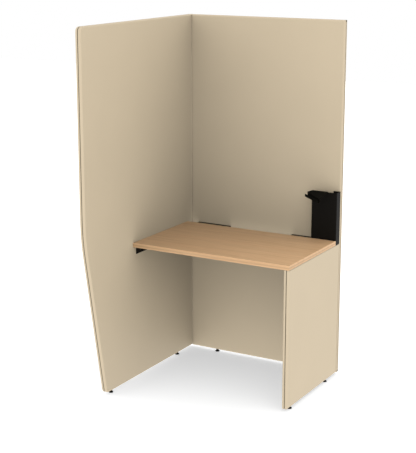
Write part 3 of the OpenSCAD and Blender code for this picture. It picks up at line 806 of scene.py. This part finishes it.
@dataclass(frozen=True)
class BentPlate:
    """Sheet bent along a path in the yz plane and carried along x."""

    corners: Sequence[tuple[float, float]]
    sheet: float
    bend: float = 1.5
    arc: int = 6

    def faces(self) -> tuple[np.ndarray, np.ndarray]:
        """Both faces of the sheet as paths with the same number of points.

        At each inner corner the two legs' directions a and b give the turn. The bend's centre lies
        on the side it turns to, at the corner plus (na + nb) / (1 + na . nb) times the near
        face's radius, where na and nb are the legs' normals. The path's own face and the face a
        sheet thickness to its left are arcs about that centre.

        Returns:
            The path's own face and the other face.
        """
        path = np.asarray(self.corners, float)
        way = np.diff(path, axis=0)
        way = way / np.linalg.norm(way, axis=1)[:, None]
        side = np.stack([-way[:, 1], way[:, 0]], 1)
        own, other = [path[:1]], [path[:1] + side[:1] * self.sheet]
        for corner, a, na, nb, b in zip(path[1:-1], way[:-1], side[:-1], side[1:], way[1:]):
            left = a[0] * b[1] - a[1] * b[0] > 0
            near, far = (self.bend + self.sheet, self.bend) if left else (self.bend, self.bend + self.sheet)
            sign = 1.0 if left else -1.0
            centre = corner + sign * near * (na + nb) / (1 + na @ nb)
            start = math.atan2(-sign * na[1], -sign * na[0])
            sweep = sign * math.acos(max(-1.0, min(1.0, float(a @ b))))
            t = start + sweep * np.linspace(0, 1, self.arc + 1)[:, None]
            ring = np.concatenate([np.cos(t), np.sin(t)], 1)
            own.append(centre + near * ring)
            other.append(centre + far * ring)
        own.append(path[-1:])
        other.append(path[-1:] + side[-1:] * self.sheet)
        return np.concatenate(own), np.concatenate(other)

    def form(self, x0: float, x1: float) -> Form:
        """The plate's closed surface between two ends.

        The section's two ends and the long sides are strips of quads between neighbouring points
        of the two faces.

        Args:
            x0: left end.
            x1: right end.

        Returns:
            The form.
        """
        own, other = self.faces()
        n = len(own)
        section = np.concatenate([own, other])
        points = np.concatenate([np.insert(section, 0, x, axis=1) for x in (x0, x1)])
        k = np.arange(n - 1)
        near = np.stack([k, n + k, n + k + 1, k + 1], 1)
        far = 2 * n + near[:, ::-1]
        below = np.stack([k, k + 1, 2 * n + k + 1, 2 * n + k], 1)
        above = np.stack([n + k, 3 * n + k, 3 * n + k + 1, n + k + 1], 1)
        ends = np.array([[0, 2 * n, 3 * n, n], [n - 1, 2 * n - 1, 4 * n - 1, 3 * n - 1]])
        return Form(points, NO_TRIS, np.concatenate([near, far, below, above, ends]))


@dataclass(frozen=True)
class CornerBead:
    """Extruded bead with a hollow face, for the inner corner between two panels."""

    width: float = 2.5
    lip: float = 0.3
    arc: int = 8

    def form(self, low: float, high: float) -> Form:
        """The bead along z, its corner on the axis and its legs along +x and -y.

        The hollow face is a quarter arc of radius width - lip about (width, -width). The section
        goes round once at each end, quads join the two, and each end is a fan from the corner.

        Args:
            low: lower end.
            high: upper end.

        Returns:
            The form.
        """
        t = np.linspace(math.pi, 0.5 * math.pi, self.arc + 1)
        r = self.width - self.lip
        hollow = np.stack([self.width + r * np.cos(t), -self.width + r * np.sin(t)], 1)
        section = np.concatenate([[[0.0, 0.0], [0.0, -self.width]], hollow, [[self.width, 0.0]]])
        n = len(section)
        points = np.concatenate([np.insert(section, 2, z, axis=1) for z in (low, high)])
        i = np.arange(n)
        j = (i + 1) % n
        k = i[1:-1]
        corner = np.zeros_like(k)
        fans = [np.stack([corner, k + 1, k], 1), n + np.stack([corner, k, k + 1], 1)]
        return Form(points, np.concatenate(fans), np.stack([i, j, n + j, n + i], 1))


@dataclass(frozen=True)
class PlugCap:
    """Flat plug, flush with z = 0 and set into the panel, with a chamfered rim."""

    radius: float = 5.05
    thickness: float = 1.5
    recess: float = 0.1
    dome: float = 0.04
    chamfer: float = 0.4
    lip: float = 0.3
    steps: int = 48

    def form(self) -> Form:
        """The plug's closed surface: a slightly domed face sunk in a lip, then chamfer, rim and back.

        Returns:
            The form.
        """
        lip_r = self.radius - self.chamfer
        r = np.array([self.radius / 2, lip_r - self.lip, lip_r, self.radius, self.radius])
        z = np.array([self.dome / 2 - self.recess, -self.recess, 0.0, -self.chamfer, -self.thickness])
        return Form.turned(circle_grid(r, z, self.steps), self.dome - self.recess, -self.thickness)


@dataclass
class Panels:
    """The three panels: pressed skins, edge channels, stiffeners, plugs and corner bead."""

    names: Sequence[str] = ("left", "back", "side")
    skins: Sequence[str] = (
        "left_outer_skin", "left_inner_skin", "back_rear_skin", "back_front_skin",
        "side_outer_skin", "side_inner_skin",
    )
    corner_bolts: Sequence[float] = (150.0, 900.0, 1650.0)
    side_bolts: Sequence[float] = (150.0, 607.0)
    left_face: float = -442.5
    rear_face: float = 500.0
    corner_y: float = 485.0
    side_x: float = 427.5
    inner_corner: tuple[float, float] = (-412.45, 469.95)
    bead_ends: tuple[float, float] = (24.0, 1791.0)

    def caps(self) -> None:
        """Plugs over the sunk bolts, in the left panel's outer face and the back panel's rear face."""
        plug = PlugCap().form()
        forms = [plug.placed((self.left_face, self.corner_y, z), (-1, 0, 0)) for z in self.corner_bolts]
        forms += [plug.placed((self.side_x, self.rear_face, z), (0, 1, 0)) for z in self.side_bolts]
        Form.joined(forms).show("bolt_plugs", Finish.CAP_PLASTIC, "frame", ["joint_caps"])

    def bead(self) -> None:
        """The bead that softens the corner between the left and the back panel."""
        bead = CornerBead().form(*self.bead_ends).placed((*self.inner_corner, 0.0))
        bead.show("corner_bead", Finish.PANEL_COAT, "frame")

    def build(self) -> None:
        """Dresses the panels' solids and makes the plugs and the bead."""
        dress(self.skins, Finish.PANEL_COAT)
        # The edge channels get the darker coat: painted shade in the seams.
        dress([name + "_edge_channel" for name in self.names], Finish.GROOVE_COAT_PAINTED_SHADE)
        dress([name + "_stiffeners" for name in self.names], Finish.ZINC_STEEL)
        dress(["back_corner_plugs"], Finish.BLACK_PLASTIC)
        self.caps()
        self.bead()


@dataclass
class Worktop:
    """The worktop: board, laminate, backing and edge band."""

    finishes: Sequence[tuple[str, Finish]] = (
        ("worktop_laminate", Finish.WOOD_LAMINATE),
        ("worktop_edge_band", Finish.WOOD_EDGE),
        ("worktop_backing", Finish.BACKING_SHEET),
        ("worktop_board", Finish.PARTICLE_BOARD),
    )

    def build(self) -> None:
        """Dresses the worktop's solids."""
        for node, finish in self.finishes:
            dress([node], finish)


@dataclass
class Supports:
    """Angle, brackets, black plates put in the wiring gap as painted shade, and the screws that hold them and
    the post.
    """

    sheet: float = 2.3
    post_sheet: float = 1.6
    left_face: float = -412.5
    right_face: float = 412.5
    back_face: float = 470.0
    under: float = 697.0
    angle_ys: Sequence[float] = (-40.0, 280 / 3, 680 / 3, 360.0)
    angle_screw_z: float = 675.0
    bracket_ys: Sequence[float] = (-27.0, 3.0, 319.0, 349.0)
    bracket_screw_z: float = 661.0
    post_x: float = 423.5
    post_zs: Sequence[float] = (750.0, 836.0, 922.0)
    angle_wood_x: float = -388.5
    angle_wood_ys: Sequence[float] = (-15.0, 160.0, 335.0)
    bracket_wood_x: float = 382.5
    post_wood_xs: Sequence[float] = (334.9, 384.1)
    post_wood_y: float = 409.5
    # Black plates in the wiring gap: painted shade, dark sheets put where there is only shade.
    standin_plate_spans: Sequence[tuple[float, float]] = ((-366.0, -176.0), (184.0, 305.0))
    standin_plate_top: float = 714.0
    standin_plate_wall_low: float = 676.0
    standin_plate_lip_low: float = 699.0
    standin_plate_front: float = 424.5
    standin_plate_play: float = 0.05
    standin_plate_screw_z: float = 692.0
    standin_plate_screw_in: float = 24.0
    machine_screw: CrossHeadScrew = CrossHeadScrew(head_r=5.0, head_h=2.5, shank_r=2.5, length=13.0)
    wood_screw: CrossHeadScrew = CrossHeadScrew(head_r=4.0, head_h=2.0, shank_r=2.0, length=16.0, wing=0.42)

    def machine_screws(self) -> None:
        """Machine screws: four through the angle, four in the brackets, three in the post's flange."""
        screw = self.machine_screw.form()
        angle_x = self.left_face + self.sheet
        bracket_x = self.right_face - self.sheet
        flange_y = self.back_face - self.post_sheet
        forms = [screw.placed((angle_x, y, self.angle_screw_z), (1, 0, 0)) for y in self.angle_ys]
        forms += [screw.placed((bracket_x, y, self.bracket_screw_z), (-1, 0, 0)) for y in self.bracket_ys]
        forms += [screw.placed((self.post_x, flange_y, z), (0, -1, 0)) for z in self.post_zs]
        Form.joined(forms).show("machine_screws", Finish.BLACK_SCREW, "frame", ["panel_screws"])

    def wood_screws(self) -> None:
        """Wood screws up into the worktop, heads under the angle, the brackets and the post's foot."""
        screw = self.wood_screw.form()
        places = [(self.angle_wood_x, y, self.under - self.sheet) for y in self.angle_wood_ys]
        places += [(self.bracket_wood_x, y, self.under - self.sheet) for y in self.bracket_ys]
        places += [(x, self.post_wood_y, self.under - self.post_sheet) for x in self.post_wood_xs]
        Form.joined([screw.placed(p, (0, 0, -1)) for p in places]).show(
            "board_screws", Finish.BLACK_SCREW, "frame", ["wood_screws"])

    def shade_standin_plates(self) -> None:
        """Two black bent plates in the wiring gap at both ends, a little below the worktop's top.

        They are painted shade: dark sheets put where there is only shade, which darken the back panel above
        them, while it stays lit from below through the open gap between the two. Each goes up the back panel,
        over the gap, and ends in a lip down the worktop's rear edge.
        """
        wall = self.back_face - self.standin_plate_play
        path = ((wall, self.standin_plate_wall_low), (wall, self.standin_plate_top),
                (self.standin_plate_front, self.standin_plate_top), (self.standin_plate_front, self.standin_plate_lip_low))
        plate = BentPlate(path, self.sheet)
        plates = [plate.form(*span) for span in self.standin_plate_spans]
        # The black plates are painted shade on the back panel above the gap's ends.
        Form.joined(plates).show("shade_standin_plates", Finish.BLACK_COAT, "frame")
        screw = self.machine_screw.form()
        xs = [x for a, b in self.standin_plate_spans for x in (a + self.standin_plate_screw_in, b - self.standin_plate_screw_in)]
        screws = [screw.placed((x, wall - self.sheet, self.standin_plate_screw_z), (0, -1, 0)) for x in xs]
        Form.joined(screws).show("shade_standin_plate_screws", Finish.BLACK_SCREW, "frame")

    def build(self) -> None:
        """Dresses the supports and the hidden fasteners and makes the black plates of painted shade in the
        wiring gap and the screws.
        """
        dress(["support_angle", "side_brackets"], Finish.BLACK_COAT)
        dress(["rivet_nuts", "joint_bolts", "joint_sleeves", "joint_nuts", "foot_nuts"], Finish.ZINC_STEEL)
        self.shade_standin_plates()
        self.machine_screws()
        self.wood_screws()


@dataclass
class DevicePost:
    """The post, the rest on its top, and the studs and nuts that hold the rest."""

    stud_xs: Sequence[float] = (328.1, 379.5)
    stud_z: float = 949.9
    face_y: float = 424.5
    nut_y: float = 427.7
    stud: ThreadedRod = ThreadedRod(radius=2.0, pitch=0.7, length=7.7, steps=24)
    nut: HexagonNut = HexagonNut(corner_r=3.8, bore_r=2.05, height=3.0)

    def fixings(self) -> None:
        """Studs in the post's front wall and the nuts on them, inside the post."""
        studs = [self.stud.form().placed((x, self.face_y, self.stud_z), (0, 1, 0)) for x in self.stud_xs]
        nuts = [self.nut.form().placed((x, self.nut_y, self.stud_z), (0, 1, 0)) for x in self.stud_xs]
        Form.joined(studs).show("rest_studs", Finish.ZINC_STEEL, "frame", ["post_studs"])
        Form.joined(nuts).show("stud_nuts", Finish.ZINC_STEEL, "frame", ["rest_nuts"])

    def build(self) -> None:
        """Dresses the post and the rest and makes their fixings."""
        dress(["device_post"], Finish.BLACK_COAT)
        dress(["device_rest"], Finish.MATT_BLACK)
        self.fixings()


@dataclass
class Feet:
    """Six levelling feet: ribbed pad, hexagon collar and threaded stud."""

    names: Sequence[str] = ("left_front", "left_rear", "back_left", "back_right", "side_front", "side_rear")
    pad: FootPad = FootPad()
    collar: HexagonNut = HexagonNut(corner_r=7.0, bore_r=4.05, height=6.4)
    collar_z: float = 8.3
    stud_radius: float = 4.0
    stud_pitch: float = 1.25

    def foot(self, name: str) -> None:
        """One foot, placed by its pad's box, with a stud as long as the CAD one.

        Args:
            name: the foot's name, which starts its nodes' and bodies' names.
        """
        low, high = (np.array(corner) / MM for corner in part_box(name + "_pad"))
        x, y = ((low + high) / 2)[:2]
        bottom, top = (corner[2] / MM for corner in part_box(name + "_stud"))
        stud = ThreadedRod(self.stud_radius, self.stud_pitch, top - bottom)
        self.pad.form().placed((x, y, 0)).show(
            name + "_moulded_pad", Finish.BLACK_PLASTIC, name + "_base", [name + "_pad"])
        self.collar.form().placed((x, y, self.collar_z)).show(
            name + "_hexagon", Finish.FOOT_STEEL, name + "_screw", [name + "_collar"])
        stud.form().placed((x, y, bottom)).show(
            name + "_threaded_stud", Finish.FOOT_STEEL, name + "_screw", [name + "_stud"])

    def build(self) -> None:
        """Makes the feet."""
        for name in self.names:
            self.foot(name)


@dataclass
class Studio:
    """Camera, floor and world, which is the only light."""

    eye: tuple[float, float, float] = (2.7364, -4.8567, 2.2074)
    pitch: float = 0.23447
    yaw: float = 0.51996
    focal_px: float = 1193.02
    frame_px: tuple[int, int] = (416, 453)
    centre_px: tuple[float, float] = (208.0, 217.52)
    sensor_mm: float = 36.0
    sight: float = 100.0
    light_colour: LinearColour = (1.0, 0.998, 0.99, 1)
    side_level: float = 1.0
    front_level: float = 1.15
    front_turn: float = 0.2
    level_span: tuple[float, float] = (-0.1, 0.9)
    floor_half: float = 12.0
    floor_level: float = 0.92
    floor_roughness: float = 0.9
    floor_sheen: float = 0.1
    floor_glow: float = 0.5

    def camera(self) -> None:
        """Sets the camera: lens = focal length in pixels times sensor over the frame's long side."""
        data = bpy.data.cameras.new("camera")
        cam = enter("camera", data)
        width, height = self.frame_px
        long_side = max(width, height)
        data.sensor_width = self.sensor_mm
        data.lens = self.focal_px * self.sensor_mm / long_side
        data.shift_x = (width / 2 - self.centre_px[0]) / long_side
        data.shift_y = -(height / 2 - self.centre_px[1]) / long_side
        data.clip_end = self.sight
        cam.location = self.eye
        cam.rotation_euler = (math.pi / 2 - self.pitch, 0.0, self.yaw)
        bpy.context.scene.camera = cam

    def surround_level(self, sky: NodeSketch) -> Socket:
        """Level of the surround in each direction.

        It changes in a straight line with the cosine between a direction and the front, turned to
        the right by front_turn, from side_level to front_level over the cosines of level_span.

        Args:
            sky: the world's node tree.

        Returns:
            The socket with the level.
        """
        coords = sky.add("TexCoord")
        towards = sky.add("VectorMath")
        towards.operation = "DOT_PRODUCT"
        towards.inputs[1].default_value = (math.sin(self.front_turn), -math.cos(self.front_turn), 0.0)
        sky.link(coords.outputs["Generated"], towards.inputs[0])
        return sky.levels(towards.outputs["Value"], self.level_span, (self.side_level, self.front_level))

    def background_rays(self, sky: NodeSketch) -> Socket:
        """Picks the rays that see the white background.

        Args:
            sky: the world's node tree.

        Returns:
            The socket that is 1 for camera, transmission and glossy rays and else 0.
        """
        path = sky.add("LightPath")
        picked = path.outputs["Is Camera Ray"]
        for ray in ("Is Transmission Ray", "Is Glossy Ray"):
            either = sky.add("Math")
            either.operation = "MAXIMUM"
            sky.link(picked, either.inputs[0])
            sky.link(path.outputs[ray], either.inputs[1])
            picked = either.outputs[0]
        return picked

    def world(self) -> None:
        """Soft studio all round, a little brighter in front, and plain white to the camera."""
        world = bpy.data.worlds.new("studio")
        bpy.context.scene.world = world
        world.use_nodes = True
        sky = NodeSketch(world.node_tree)
        light = sky.add("Background", Color=self.light_colour)
        background = sky.add("Background", Color=WHITE, Strength=1.0)
        mix = sky.add("MixShader")
        out = sky.add("OutputWorld")
        sky.link(self.surround_level(sky), light.inputs["Strength"])
        sky.link(self.background_rays(sky), mix.inputs[0])
        sky.link(light.outputs[0], mix.inputs[1])
        sky.link(background.outputs[0], mix.inputs[2])
        sky.link(mix.outputs[0], out.inputs[0])

    def floor_look(self) -> Material:
        """Plain pale paint, with a glow that only the camera sees, so that it is white but for shadows.

        Returns:
            The material.
        """
        look = MaterialSketch("floor_white")
        look.fix("Base Color", toned(WHITE, self.floor_level))
        look.fix("Roughness", self.floor_roughness)
        look.fix("Specular IOR Level", self.floor_sheen)
        glow = look.add("Emission", Color=WHITE)
        path = look.add("LightPath")
        strength = look.add("Math")
        strength.operation = "MULTIPLY"
        strength.inputs[1].default_value = self.floor_glow
        look.link(path.outputs["Is Camera Ray"], strength.inputs[0])
        look.link(strength.outputs[0], glow.inputs[1])
        both = look.add("AddShader")
        look.link(look.shader.outputs[0], both.inputs[0])
        look.link(glow.outputs[0], both.inputs[1])
        look.link(both.outputs[0], look.output.inputs[0])
        return look.material

    def floor(self) -> None:
        """A large square that keeps the object's shadow and lights nothing."""
        half = self.floor_half
        mesh = bpy.data.meshes.new("floor")
        corners = [(-half, -half, 0), (half, -half, 0), (half, half, 0), (-half, half, 0)]
        mesh.from_pydata(corners, [], [(0, 1, 2, 3)])
        mesh.materials.append(self.floor_look())
        floor = enter("floor", mesh)
        floor.visible_diffuse = False
        floor.visible_glossy = False

    def build(self) -> None:
        """Sets up everything that isn't the object.

        Diffuse bounces are off, because in the photo the corners between panels are as dark as
        the share of open studio that they see, with hardly any colour passed from panel to panel.
        """
        self.camera()
        self.world()
        self.floor()
        bpy.context.scene.cycles.diffuse_bounces = 0
        bpy.context.scene.view_settings.view_transform = "Standard"


def main() -> None:
    """Builds the studio and the object's sub-assemblies in order."""
    Studio().build()
    for part in (Panels(), Worktop(), Supports(), DevicePost(), Feet()):
        part.build()
        log.info("built %s", type(part).__name__)


if __name__ == "__main__":
    main()
